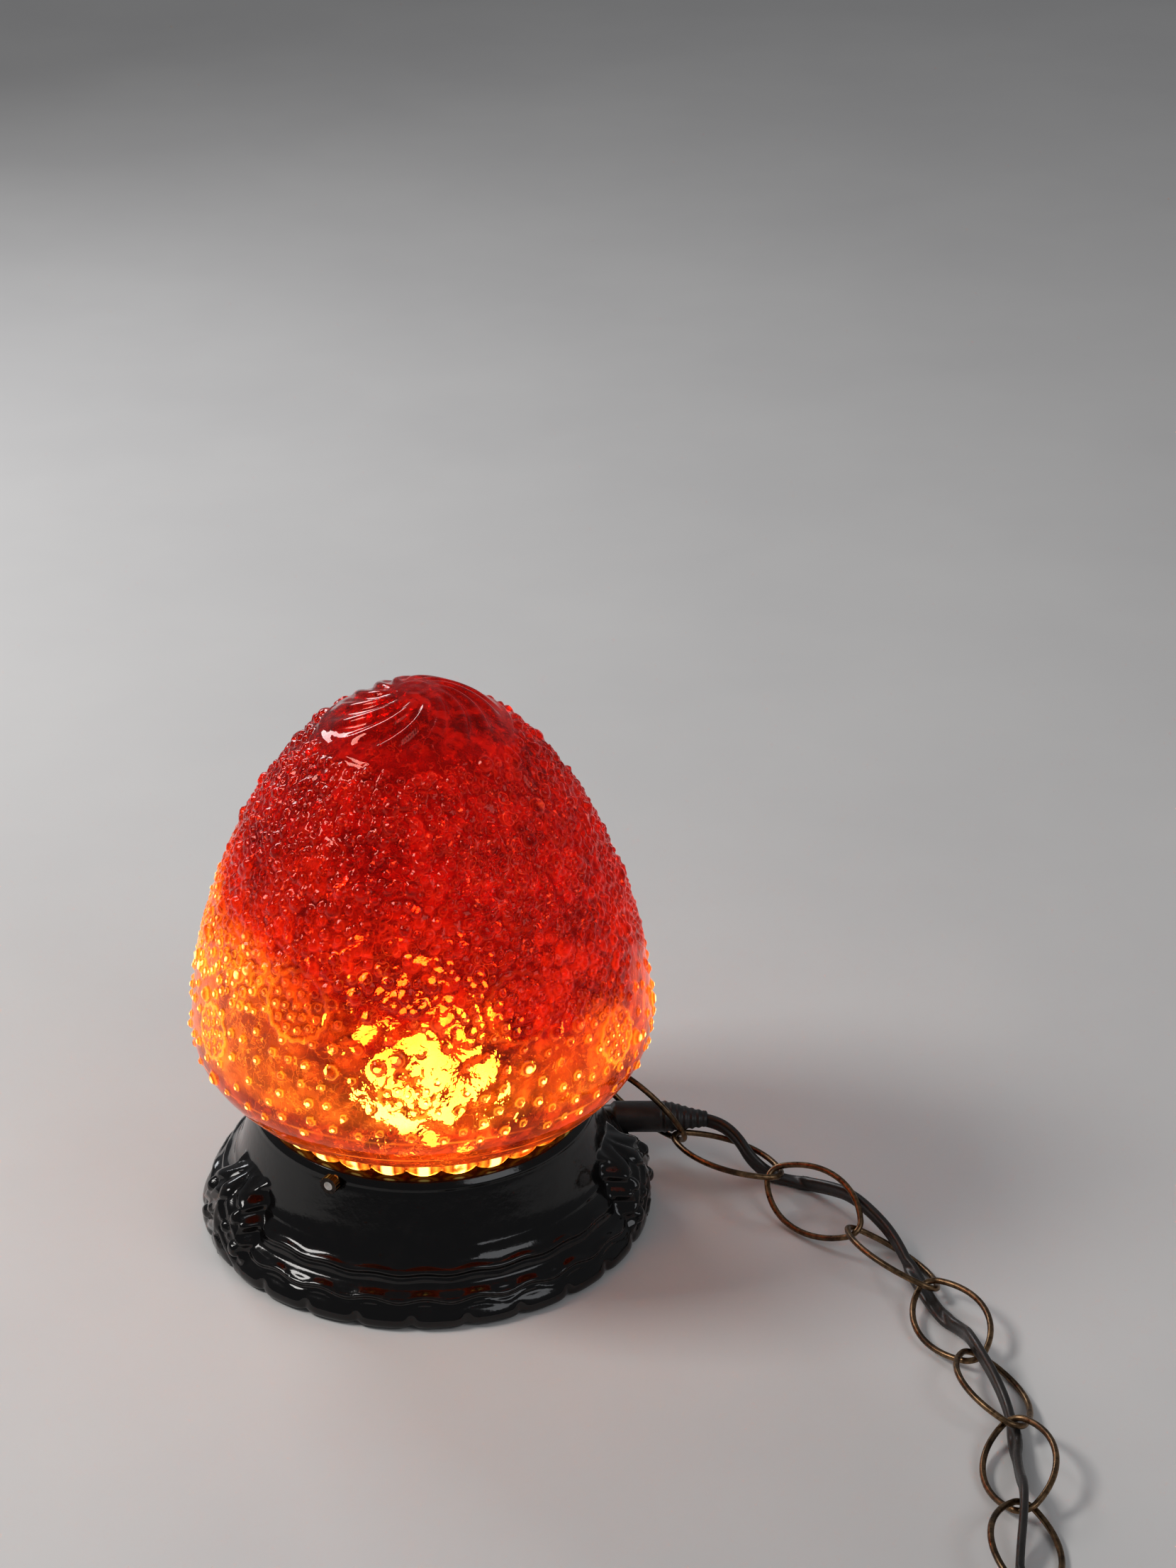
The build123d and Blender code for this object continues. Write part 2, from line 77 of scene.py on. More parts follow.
# ------------------------------------------------------------------ material helpers
class Mat:
    """A small helper that builds node materials."""

    def __init__(self, name):
        self.m = bpy.data.materials.new(name)
        self.m.use_nodes = True
        self.t = self.m.node_tree
        self.b = self.t.nodes["Principled BSDF"]
        self.out = self.t.nodes["Material Output"]
        self.geo = self.t.nodes.new("ShaderNodeTexCoord").outputs["Object"]

    def node(self, kind, **values):
        n = self.t.nodes.new(kind)
        for k, v in values.items():
            if k in n.inputs:
                n.inputs[k].default_value = v
            else:
                setattr(n, k, v)
        return n

    def link(self, a, b):
        self.t.links.new(a, b)

    def noise(self, scale, detail=3.0, rough=0.55, vector=None):
        n = self.node("ShaderNodeTexNoise", Scale=scale, Detail=detail, Roughness=rough)
        self.link(vector or self.geo, n.inputs["Vector"])
        return n.outputs["Fac"]

    def voronoi(self, scale, feature="F1", vector=None):
        n = self.t.nodes.new("ShaderNodeTexVoronoi")
        n.feature = feature
        n.inputs["Scale"].default_value = scale
        self.link(vector or self.geo, n.inputs["Vector"])
        return n.outputs["Distance"]

    def ramp(self, source, stops):
        n = self.t.nodes.new("ShaderNodeValToRGB")
        e = n.color_ramp.elements
        while len(e) < len(stops):
            e.new(0.5)
        for el, (p, c) in zip(e, stops):
            el.position = p
            el.color = (*c, 1) if len(c) == 3 else c
        self.link(source, n.inputs["Fac"])
        return n.outputs["Color"]

    def span(self, source, lo, hi, a, b, clamp=True):
        n = self.node("ShaderNodeMapRange", clamp=clamp)
        n.inputs["From Min"].default_value, n.inputs["From Max"].default_value = lo, hi
        n.inputs["To Min"].default_value, n.inputs["To Max"].default_value = a, b
        self.link(source, n.inputs["Value"])
        return n.outputs["Result"]

    def math(self, op, a, b=None):
        n = self.node("ShaderNodeMath", operation=op)
        for i, v in enumerate((a, b)):
            if v is None:
                continue
            if isinstance(v, (int, float)):
                n.inputs[i].default_value = v
            else:
                self.link(v, n.inputs[i])
        return n.outputs["Value"]

    def mix(self, fac, a, b, kind="MIX"):
        n = self.t.nodes.new("ShaderNodeMix")
        n.data_type, n.blend_type = "RGBA", kind
        for sock, v in ((n.inputs[0], fac), (n.inputs[6], a), (n.inputs[7], b)):
            if isinstance(v, (int, float)):
                sock.default_value = v
            elif isinstance(v, tuple):
                sock.default_value = (*v, 1)
            else:
                self.link(v, sock)
        return n.outputs[2]

    def axis(self, which):
        n = self.t.nodes.new("ShaderNodeSeparateXYZ")
        self.link(self.geo, n.inputs[0])
        return n.outputs[which]

    def bump(self, height, strength, distance):
        n = self.node("ShaderNodeBump", Strength=strength, Distance=distance)
        self.link(height, n.inputs["Height"])
        self.link(n.outputs["Normal"], self.b.inputs["Normal"])
        return n.outputs["Normal"]

    def colour(self, c):
        self.link(c, self.b.inputs["Base Color"])

    def rough(self, r):
        self.link(r, self.b.inputs["Roughness"])

    def set(self, **values):
        for k, v in values.items():
            self.b.inputs[k.replace("_", " ")].default_value = v


def metal_mat(name, low, high, r0, r1, scale=900.0, bump=0.15, dist=0.00005, tarnish=None):
    k = Mat(name)
    n = k.noise(scale)
    c = k.ramp(n, [(0.30, low), (0.72, high)])
    if tarnish:
        patch = k.span(k.noise(scale * 0.12, 5.0), 0.45, 0.68, 0.0, 0.85)
        c = k.mix(patch, c, tarnish)
    k.colour(c)
    k.rough(k.span(k.noise(scale * 0.5), 0.3, 0.7, r0, r1))
    k.set(Metallic=1.0)
    k.bump(k.noise(scale * 1.7), bump, dist)
    return k.m


# black enamel on a casting: deep gloss with orange peel, dust in the hollows, rubbed warm edges
k = Mat("black_enamel")
dust = k.span(k.noise(160, 6.0, 0.62), 0.50, 0.74, 0.0, 1.0)
hollow = k.t.nodes.new("ShaderNodeAttribute")
hollow.attribute_name = "hollow"
dusty = k.math("MULTIPLY", dust, k.span(hollow.outputs["Fac"], 0.25, 1.0, 0.05, 0.55))
rub = k.math("MULTIPLY", k.span(hollow.outputs["Fac"], 0.0, 0.18, 1.0, 0.0), k.span(k.noise(420, 4.0), 0.56, 0.70, 0.0, 0.5))
c = k.mix(dusty, (0.0022, 0.0018, 0.0018), (0.022, 0.018, 0.016))
c = k.mix(rub, c, (0.026, 0.014, 0.009))
k.colour(c)
k.rough(k.math("ADD", k.span(k.noise(240, 5.0), 0.35, 0.70, 0.07, 0.17), k.math("MULTIPLY", dusty, 0.35)))
k.set(Coat_Weight=0.25, Coat_Roughness=0.04, IOR=1.45, Specular_IOR_Level=0.32)
k.bump(k.math("ADD", k.noise(520, 2.0), k.math("MULTIPLY", k.noise(90, 2.0), 1.6)), 0.16, 0.0003)
M_ENAMEL = k.m

M_BRONZE = metal_mat("aged_bronze", (0.10, 0.058, 0.030), (0.30, 0.185, 0.095), 0.26, 0.46, 700.0, 0.22, 0.00006, (0.030, 0.022, 0.017))
M_DARK = metal_mat("blackened_screw", (0.016, 0.013, 0.012), (0.055, 0.042, 0.034), 0.30, 0.48, 900.0, 0.2, 0.00005, (0.012, 0.010, 0.009))
M_BRASS = metal_mat("brass", (0.52, 0.36, 0.12), (0.80, 0.60, 0.26), 0.20, 0.38, 800.0, 0.12, 0.00004, (0.28, 0.18, 0.07))
M_ZINC = metal_mat("zinc_plate", (0.42, 0.42, 0.40), (0.66, 0.66, 0.63), 0.28, 0.48, 1100.0, 0.15, 0.00004, (0.30, 0.29, 0.26))
M_CAP = metal_mat("bulb_cap", (0.62, 0.62, 0.62), (0.86, 0.86, 0.85), 0.16, 0.30, 900.0, 0.12, 0.00004)

k = Mat("felt_cloth")
fib = k.noise(2600, 4.0, 0.7)
k.colour(k.ramp(fib, [(0.3, (0.008, 0.014, 0.010)), (0.7, (0.030, 0.048, 0.036))]))
k.rough(k.span(fib, 0.3, 0.7, 0.82, 1.0))
k.set(Sheen_Weight=0.5)
k.bump(fib, 0.8, 0.0004)
M_FELT = k.m

k = Mat("phenolic")
k.colour(k.ramp(k.noise(500, 5.0), [(0.35, (0.020, 0.012, 0.009)), (0.70, (0.060, 0.035, 0.022))]))
k.rough(k.span(k.noise(900), 0.3, 0.7, 0.22, 0.42))
k.bump(k.noise(1300), 0.12, 0.00008)
M_PHENOLIC = k.m

k = Mat("card_sleeve")
lay = k.voronoi(900)
k.colour(k.mix(k.noise(700, 4.0), (0.055, 0.036, 0.022), (0.14, 0.10, 0.066)))
k.rough(k.span(lay, 0.0, 0.8, 0.5, 0.85))
k.bump(k.noise(1500), 0.3, 0.0001)
M_CARD = k.m

k = Mat("cap_insulator")
k.colour(k.ramp(k.noise(800), [(0.4, (0.012, 0.009, 0.018)), (0.7, (0.05, 0.04, 0.06))]))
k.rough(k.span(k.noise(600), 0.3, 0.7, 0.12, 0.30))
k.bump(k.noise(900), 0.1, 0.00006)
M_INSUL = k.m

k = Mat("cord_vinyl")
n = k.noise(1400, 4.0)
k.colour(k.ramp(k.noise(140, 5.0), [(0.32, (0.0095, 0.0080, 0.0072)), (0.70, (0.026, 0.021, 0.018))]))
k.rough(k.span(n, 0.3, 0.7, 0.30, 0.50))
k.set(Specular_IOR_Level=0.55)
k.bump(n, 0.22, 0.00010)
M_CORD = k.m

k = Mat("boot_rubber")
n = k.noise(1800, 5.0)
k.colour(k.ramp(k.noise(220, 5.0), [(0.35, (0.0080, 0.0078, 0.0076)), (0.72, (0.024, 0.022, 0.021))]))
k.rough(k.span(n, 0.3, 0.7, 0.34, 0.58))
k.bump(n, 0.25, 0.00012)
M_RUBBER = k.m

k = Mat("lead_plastic")
k.colour(k.ramp(k.noise(700), [(0.3, (0.010, 0.010, 0.010)), (0.7, (0.030, 0.028, 0.026))]))
k.rough(k.span(k.noise(900), 0.3, 0.7, 0.3, 0.5))
k.bump(k.noise(1500), 0.15, 0.00006)
M_LEAD = k.m

# glowing filament and bulb glass
k = Mat("filament_glow")
k.t.nodes.remove(k.b)
em = k.t.nodes.new("ShaderNodeEmission")
k.link(k.ramp(k.noise(1200), [(0.3, (1.0, 0.55, 0.18)), (0.7, (1.0, 0.80, 0.45))]), em.inputs["Color"])
em.inputs["Strength"].default_value = 40.0
k.link(em.outputs[0], k.out.inputs["Surface"])
M_FILAMENT = k.m

k = Mat("bulb_lit")
coat = k.noise(300, 4.0)
k.colour(k.ramp(coat, [(0.3, (1.0, 0.90, 0.70)), (0.7, (1.0, 0.96, 0.86))]))
k.rough(k.span(coat, 0.3, 0.7, 0.10, 0.22))
k.link(k.ramp(coat, [(0.3, (1.0, 0.52, 0.16)), (0.7, (1.0, 0.64, 0.27))]), k.b.inputs["Emission Color"])
k.set(Transmission_Weight=0.35, Emission_Strength=15.0)
M_BULB = k.m

# ------------------------------------------------------------------ pressed glass
TINT = [(0.00, (1.00, 0.50, 0.060)), (0.22, (1.00, 0.46, 0.060)), (0.38, (1.00, 0.26, 0.016)),
        (0.50, (0.70, 0.0080, 0.0008)), (0.72, (0.42, 0.0003, 0.0003)), (1.00, (0.48, 0.0015, 0.0010))]
# These two ramps are colours of painted light: the bulb's glow on the glass and the brighter outlines of its bubbles,
# put into the emission.
GLOW = [(0.00, (1.00, 0.16, 0.004)), (0.26, (1.00, 0.13, 0.003)), (0.40, (1.00, 0.050, 0.002)),
        (0.52, (0.90, 0.006, 0.001)), (0.75, (0.75, 0.001, 0.001)), (1.00, (0.80, 0.003, 0.002))]
PAINTED_RIM_GLOW = [(0.00, (1.00, 0.34, 0.02)), (0.30, (1.00, 0.36, 0.020)), (0.44, (1.00, 0.24, 0.012)),
        (0.58, (1.00, 0.075, 0.014)), (1.00, (1.00, 0.070, 0.022))]


def height_of_colour(k):
    """Height in the shade, pushed up and down by slow noise, so the amber line wanders."""
    warp = k.math("MULTIPLY", k.math("SUBTRACT", k.noise(20, 4.0), 0.5), 0.075)
    fine = k.math("MULTIPLY", k.math("SUBTRACT", k.noise(95, 3.0), 0.5), 0.022)
    lean = k.math("MULTIPLY", k.axis(0), 0.26)
    h = k.math("ADD", k.math("ADD", k.math("ADD", k.axis(2), warp), fine), lean)
    return k.span(h, 0.040, 0.190, 0.0, 1.0)


def between(k, source, lo, hi, soft):
    return k.math("MULTIPLY", k.span(source, lo, lo + soft, 0.0, 1.0), k.span(source, hi - soft, hi, 1.0, 0.0))


k = Mat("pressed_glass")
h = height_of_colour(k)
z = k.axis(2)
att = k.t.nodes.new("ShaderNodeAttribute")
att.attribute_name = "knob"
knob = att.outputs["Fac"]
band = between(k, k.math("ADD", z, k.math("MULTIPLY", k.math("SUBTRACT", k.noise(60, 3.0), 0.5), 0.006)), 0.0540, 0.0775, 0.0035)
rim_zone = k.span(z, 0.0535, 0.0560, 1.0, 0.0)
# painted shade: the glass colour is darkened in the gaps between the rim beads
bead_gap_painted_shade = k.math("MULTIPLY", rim_zone, k.span(knob, 0.02, 0.40, 0.90, 0.0))
tinted = k.mix(k.math("MULTIPLY", band, 0.94), k.ramp(h, TINT), (0.56, 0.008, 0.0010))
k.colour(k.mix(bead_gap_painted_shade, tinted, (0.30, 0.0040, 0.0010)))
amber = k.span(h, 0.36, 0.52, 1.0, 0.0)
bubbly = k.math("MULTIPLY", k.span(z, 0.066, 0.074, 0.0, 1.0), k.span(z, 0.170, 0.177, 1.0, 0.0))
bubbly = k.math("MULTIPLY", bubbly, k.span(amber, 0.0, 1.0, 1.0, 0.12))
# Painted light from here on: the emission paints the bulb's glow onto the glass, and patch makes that glow uneven in
# patches.
patch = k.span(k.noise(44, 5.0, 0.62), 0.40, 0.64, 0.0, 1.3)
# painted fall-off: the painted glow weakens towards the top, away from the bulb
painted_glow_falloff = k.math("POWER", k.span(z, 0.045, 0.190, 1.0, 0.68), 1.5)
# painted glow lines: the rings round the knobs, the outlines of seed and large bubbles, threads and hoops are bright
# lines painted into the emission
foot_ring = k.math("MULTIPLY", k.span(knob, 0.04, 0.34, 0.0, 1.0), k.span(knob, 0.40, 0.78, 1.0, 0.0))
# small seed bubbles: each is a bump with a painted glowing ring and a painted bright point in it
seeds = k.voronoi(300)
seed_ring = k.span(k.math("ABSOLUTE", k.math("SUBTRACT", seeds, 0.34)), 0.02, 0.070, 1.0, 0.0)
seed_ring = k.math("MULTIPLY", k.math("MULTIPLY", seed_ring, k.span(k.noise(85, 4.0), 0.54, 0.66, 0.0, 1.0)), bubbly)
large = k.voronoi(118)
large_ring = k.span(k.math("ABSOLUTE", k.math("SUBTRACT", large, 0.33)), 0.008, 0.030, 1.0, 0.0)
large_ring = k.math("MULTIPLY", k.math("MULTIPLY", large_ring, k.span(k.noise(34, 3.0), 0.50, 0.60, 0.0, 1.0)), bubbly)
# painted sparkles: bright points at the bubble centres and scattered glints, painted into the emission
painted_sparkle = k.math("MAXIMUM", k.math("MULTIPLY", k.span(seeds, 0.0, 0.10, 1.0, 0.0), k.span(k.noise(140, 2.0), 0.54, 0.64, 0.0, 0.8)),
               k.math("MULTIPLY", k.span(k.noise(430, 3.0, 0.6), 0.635, 0.68, 0.0, 1.0), k.span(k.noise(40, 3.0), 0.42, 0.60, 0.25, 1.0)))
painted_sparkle = k.math("MULTIPLY", painted_sparkle, k.math("MULTIPLY", k.span(z, 0.066, 0.074, 0.0, 1.0), k.span(z, 0.172, 0.181, 1.0, 0.25)))
thread = k.span(k.math("ABSOLUTE", k.math("SUBTRACT", k.noise(170, 2.5), 0.5)), 0.0, 0.014, 1.0, 0.0)
thread = k.math("MULTIPLY", thread, k.span(k.noise(55, 3.0), 0.46, 0.58, 0.0, 1.0))
hoop = k.math("MAXIMUM", k.span(k.math("ABSOLUTE", k.math("SUBTRACT", z, 0.0612)), 0.0, 0.0006, 1.0, 0.0),
              k.span(k.math("ABSOLUTE", k.math("SUBTRACT", z, 0.0700)), 0.0, 0.0007, 1.0, 0.0))
painted_glow_lines = k.math("MAXIMUM", k.math("MULTIPLY", foot_ring, k.span(amber, 0.0, 1.0, 0.45, 1.0)), k.math("MULTIPLY", thread, 0.60))
painted_glow_lines = k.math("MAXIMUM", painted_glow_lines, k.math("MULTIPLY", seed_ring, 0.55))
painted_glow_lines = k.math("MAXIMUM", painted_glow_lines, k.math("MULTIPLY", large_ring, 0.80))
painted_glow_lines = k.math("MAXIMUM", painted_glow_lines, k.math("MULTIPLY", hoop, k.span(k.noise(60, 2.0), 0.40, 0.60, 0.0, 0.8)))
# painted hot centres: the middles of the knobs and beads glow bright in the emission
painted_hot_core = k.math("MULTIPLY", k.span(knob, 0.74, 0.92, 0.0, 1.0), k.span(k.noise(75, 3.0), 0.41, 0.50, 0.05, 1.0))
painted_hot_core = k.math("MULTIPLY", painted_hot_core, k.span(amber, 0.1, 0.9, 0.06, 1.0))
# painted glow: patches of it, stronger in the amber part and weaker in the smooth band and at the rim
body = k.math("ADD", k.math("MULTIPLY", patch, 0.17), k.math("MULTIPLY", k.math("MULTIPLY", amber, k.span(k.math("MAXIMUM", band, rim_zone), 0.0, 1.0, 1.0, 0.15)), 0.24))
lit = k.math("ADD", body, k.math("MULTIPLY", painted_glow_lines, k.span(amber, 0.0, 1.0, 0.42, 0.95)))
lit = k.math("ADD", lit, k.math("ADD", k.math("MULTIPLY", painted_sparkle, 1.15), k.math("MULTIPLY", painted_hot_core, 3.4)))
lit = k.math("MULTIPLY", lit, painted_glow_falloff)
bright = k.math("MINIMUM", k.math("ADD", k.math("ADD", k.math("MULTIPLY", painted_glow_lines, 0.9), painted_sparkle), painted_hot_core), 1.0)
hot = k.mix(painted_hot_core, k.ramp(h, PAINTED_RIM_GLOW), (1.0, 0.72, 0.17))
k.link(k.mix(bright, k.ramp(h, GLOW), hot), k.b.inputs["Emission Color"])
k.link(lit, k.b.inputs["Emission Strength"])
k.rough(k.span(k.noise(900, 3.0), 0.3, 0.7, 0.0, 0.03))
k.set(Transmission_Weight=1.0, IOR=1.46, Specular_Tint=(1.0, 0.34, 0.28, 1.0))
dome = k.math("MULTIPLY", k.span(seeds, 0.0, 0.42, 1.0, 0.0), bubbly)
k.bump(k.math("ADD", k.math("MULTIPLY", dome, 1.2), k.math("ADD", k.math("MULTIPLY", k.noise(700, 3.0), 0.05), k.math("MULTIPLY", k.noise(180, 2.0), 0.9))), 0.26, 0.0005)
M_GLASS = k.m

# the inside face lets the bulb's light spread, as pressed glass full of seeds does
k = Mat("pressed_glass_inside")
h = height_of_colour(k)
low_band = k.span(k.axis(2), 0.062, 0.076, 0.90, 0.0)
clear = k.ramp(h, [(0.0, (1.0, 0.85, 0.55)), (0.42, (1.0, 0.60, 0.20)), (0.55, (0.8, 0.06, 0.02)), (1.0, (0.8, 0.05, 0.02))])
k.colour(k.mix(low_band, clear, (0.35, 0.012, 0.002)))
k.rough(k.span(k.noise(500, 3.0), 0.3, 0.7, 0.02, 0.10))
k.set(Transmission_Weight=1.0, IOR=1.50)
k.bump(k.math("ADD", k.noise(120, 3.0), k.math("MULTIPLY", k.noise(420, 2.0), 0.5)), 0.6, 0.0020)
spread = k.t.nodes.new("ShaderNodeBsdfTranslucent")
cloud = k.math("MULTIPLY", k.span(k.noise(64, 5.0, 0.62), 0.40, 0.58, 0.12, 1.0), k.span(k.noise(190, 4.0, 0.6), 0.42, 0.58, 0.12, 1.0))
k.link(k.mix(cloud, (0.05, 0.0020, 0.0012), (1.0, 0.40, 0.19)), spread.inputs["Color"])
both = k.t.nodes.new("ShaderNodeMixShader")
both.inputs[0].default_value = 0.42
k.link(k.b.outputs[0], both.inputs[1])
k.link(spread.outputs[0], both.inputs[2])
k.link(both.outputs[0], k.out.inputs["Surface"])
M_GLASS_IN = k.m

k = Mat("studio_floor")
k.colour(k.ramp(k.noise(6, 5.0), [(0.3, (0.71, 0.70, 0.69)), (0.7, (0.76, 0.75, 0.735))]))
k.rough(k.span(k.noise(40, 4.0), 0.3, 0.7, 0.62, 0.68))
k.bump(k.noise(600, 3.0), 0.06, 0.0002)
M_FLOOR = k.m


# ------------------------------------------------------------------ mesh helpers
def new_object(name, verts, faces, material, smooth=True, attributes=None):
    """verts in mm."""
    me = bpy.data.meshes.new(name)
    me.from_pydata((np.asarray(verts, float) * MM).tolist(), [], faces)
    me.validate()
    if smooth:
        me.shade_smooth()
    for key, values in (attributes or {}).items():
        a = me.attributes.new(key, "FLOAT", "POINT")
        a.data.foreach_set("value", np.asarray(values, np.float32))
    ob = bpy.data.objects.new(name, me)
    scene.collection.objects.link(ob)
    me.materials.append(material)
    return ob


def grid_faces(m, n, wrap_m=False):
    """Quads of an m x n grid that closes around n, as an array."""
    rows = m if wrap_m else m - 1
    i = np.arange(rows)[:, None]
    j = np.arange(n)[None, :]
    a = (i % m) * n + j
    b = (i % m) * n + (j + 1) % n
    c = ((i + 1) % m) * n + (j + 1) % n
    d = ((i + 1) % m) * n + j
    return np.stack([a, b, c, d], -1).reshape(-1, 4)


def curve_through(points, step):
    """A centripetal Catmull-Rom curve through 2-D points, at an even arc-length step."""
    p = np.asarray(points, float)
    p = np.vstack([2 * p[0] - p[1], p, 2 * p[-1] - p[-2]])
    out = []
    for a, b, c, d in zip(p, p[1:], p[2:], p[3:]):
        t = np.linspace(0, 1, 24, endpoint=False)[:, None]
        k0, k1, k2, k3 = (0.0, *np.cumsum([max(np.linalg.norm(v - u), 1e-6) ** 0.5 for u, v in ((a, b), (b, c), (c, d))]))
        t = k1 + t * (k2 - k1)
        A1 = (k1 - t) / (k1 - k0) * a + (t - k0) / (k1 - k0) * b
        A2 = (k2 - t) / (k2 - k1) * b + (t - k1) / (k2 - k1) * c
        A3 = (k3 - t) / (k3 - k2) * c + (t - k2) / (k3 - k2) * d
        B1 = (k2 - t) / (k2 - k0) * A1 + (t - k0) / (k2 - k0) * A2
        B2 = (k3 - t) / (k3 - k1) * A2 + (t - k1) / (k3 - k1) * A3
        out.append((k2 - t) / (k2 - k1) * B1 + (t - k1) / (k2 - k1) * B2)
    q = np.vstack([*out, p[-2][None]])
    d = np.r_[0, np.cumsum(np.linalg.norm(np.diff(q, axis=0), axis=1))]
    s = np.linspace(0, d[-1], max(int(round(d[-1] / step)), 2) + 1)
    return np.stack([np.interp(s, d, q[:, 0]), np.interp(s, d, q[:, 1])], 1), s


def step01(lo, hi, v):
    t = np.clip((v - lo) / (hi - lo), 0, 1)
    return t * t * (3 - 2 * t)


def normals2(p):
    """Outward normals of a profile that runs upwards on the outside."""
    t = np.gradient(p, axis=0)
    n = np.stack([t[:, 1], -t[:, 0]], 1)
    return n / np.maximum(np.linalg.norm(n, axis=1), 1e-9)[:, None]


# ------------------------------------------------------------------ glass shade
outer_points = [
    (57.2, 52.6), (63.0, 54.6), (67.2, 58.0), (70.6, 62.0), (73.0, 66.0), (74.3, 70.0), (74.9, 75.0),
    (74.7, 80.0), (74.0, 86.0), (72.9, 93.0), (71.4, 101.0), (69.0, 110.0), (65.7, 120.0), (61.8, 130.0),
    (57.3, 140.0), (52.2, 150.0), (46.2, 159.0), (40.0, 167.0), (33.6, 174.0), (26.6, 180.0),
    (19.0, 185.2), (10.0, 189.2), (0.9, 190.5)]
N_ROUND = 600
prof, s_of = curve_through(outer_points, 0.80)
m_out = len(prof)
theta = np.arange(N_ROUND) * 2 * math.pi / N_ROUND
disp = np.zeros((m_out, N_ROUND))
knob = np.zeros((m_out, N_ROUND))
r_of, z_of = prof[:, 0], prof[:, 1]
d_s = s_of[1] - s_of[0]


def window(s0, t0, reach):
    i0, i1 = max(int((s0 - reach) / d_s), 0), min(int((s0 + reach) / d_s) + 2, m_out)
    r0 = max(float(np.interp(s0, s_of, r_of)), 2.0)
    dj = int(reach / (r0 * 2 * math.pi / N_ROUND)) + 2
    j0 = int(round(t0 / (2 * math.pi) * N_ROUND))
    js = np.arange(j0 - dj, j0 + dj + 1)
    ds = (s_of[i0:i1] - s0)[:, None]
    dt = (js * 2 * math.pi / N_ROUND - t0)[None, :] * r0
    return slice(i0, i1), js % N_ROUND, ds, dt


def stamp(s0, t0, radius, height):
    rows, cols, ds, dt = window(s0, t0, radius)
    q = np.clip(1 - (ds ** 2 + dt ** 2) / radius ** 2, 0, 1)
    dome = height * q ** 0.55
    ix = np.ix_(range(rows.start, rows.stop), cols)
    disp[ix] = np.maximum(disp[ix], dome)
    knob[ix] = np.maximum(knob[ix], q ** 0.5)


def s_at_z(z):
    return float(np.interp(z, z_of, s_of))


taken = []      # (s, theta, keep-out radius)


def free(s0, t0, reach):
    r0 = float(np.interp(s0, s_of, r_of))
    if not taken:
        return True
    a = np.asarray(taken)
    dt = (a[:, 1] - t0 + math.pi) % (2 * math.pi) - math.pi
    return bool((np.hypot(a[:, 0] - s0, dt * r0) > a[:, 2] + reach).all())


# rosettes: a scalloped ring filled with dots
rosettes = [(-121 + 60 * i, 110.5, 11.0) for i in range(6)]
rosettes += [(-151 + 60 * i, 87.5, 8.6) for i in range(6)] + [(-96 + 60 * i, 84.5, 6.6) for i in range(6)]
rosettes += [(-62 + 72 * i, 152.5, 6.6) for i in range(5)] + [(-29 + 90 * i, 153.5, 4.8) for i in range(4)]
rosettes += [(-100 + 45 * i, 134.0 + 4.0 * (i % 2), 5.4 + 0.9 * (i % 3)) for i in range(8)]
spots = []
for deg, zc, R in rosettes:
    sc, tc = s_at_z(zc), math.radians(deg)
    if not free(sc, tc, R * 0.9):
        continue
    taken.append((sc, tc, R + 0.6))
    r0 = float(np.interp(sc, s_of, r_of))
    rows, cols, ds, dt = window(sc, tc, R + 3)
    rho, phi = np.hypot(ds, dt), np.arctan2(ds, dt)
    rim = R + 0.35 * np.cos(phi * round(R * 1.5))
    ridge = np.exp(-((rho - rim) / 0.62) ** 2)
    ix = np.ix_(range(rows.start, rows.stop), cols)
    disp[ix] = np.maximum(disp[ix], 0.62 * ridge)
    knob[ix] = np.maximum(knob[ix], 0.55 * ridge)
    spots.append((sc, tc, 1.15, 0.85))
    for frac, count in ((0.38, max(int(R * 0.6), 5)), (0.72, max(int(R * 1.15), 8))):
        for q in range(count):
            a = 2 * math.pi * (q + 0.5 * frac) / count
            spots.append((sc + R * frac * math.sin(a), tc + R * frac * math.cos(a) / r0, 0.95 + 0.03 * R, 0.80))
for a in spots:
    stamp(*a)

# loose dots low down, and close-set bubbles above
cells = {}


def near(s0, t0, gap):
    r0 = float(np.interp(s0, s_of, r_of))
    u, v = s0, t0 * 60.0
    for a in range(int(u // 6) - 1, int(u // 6) + 2):
        for b in range(int(v // 6) - 2, int(v // 6) + 3):
            for (p, q) in cells.get((a, b), ()):
                if math.hypot(p - s0, (q - t0) * r0) < gap:
                    return True
    return False


s_low, s_high = s_at_z(69.0), s_at_z(175.5)
tries = rng.rand(26000, 4)
placed = 0
ros = np.asarray(taken)
for a, b, c_, d_ in tries:
    s0, t0 = s_low + (s_high - s_low) * a, 2 * math.pi * b
    r0 = float(np.interp(s0, s_of, r_of))
    if c_ * 75.0 > r0:
        continue
    z0 = float(np.interp(s0, s_of, z_of))
    line = 106.0 + 9.0 * math.sin(t0 * 3 + 0.8) + 5.0 * math.sin(t0 * 7 + 2.0)
    dense = z0 > line
    big = d_ > 0.92
    radius = (1.10 + 0.80 * d_ if dense else 1.20 + 0.45 * d_) + (0.85 if big else 0.0)
    gap = (2.75 + (0.8 if big else 0.0)) if dense else 6.0
    dt = (ros[:, 1] - t0 + math.pi) % (2 * math.pi) - math.pi
    if (np.hypot(ros[:, 0] - s0, dt * r0) < ros[:, 2] + radius * 0.7).any() or near(s0, t0, gap):
        continue
    cells.setdefault((int(s0 // 6), int(t0 * 60.0 // 6)), []).append((s0, t0))
    stamp(s0, t0, radius, (0.66 if dense else 0.74) * radius * (0.80 + 0.45 * rng.rand()))
    placed += 1
print("bubbles", placed)

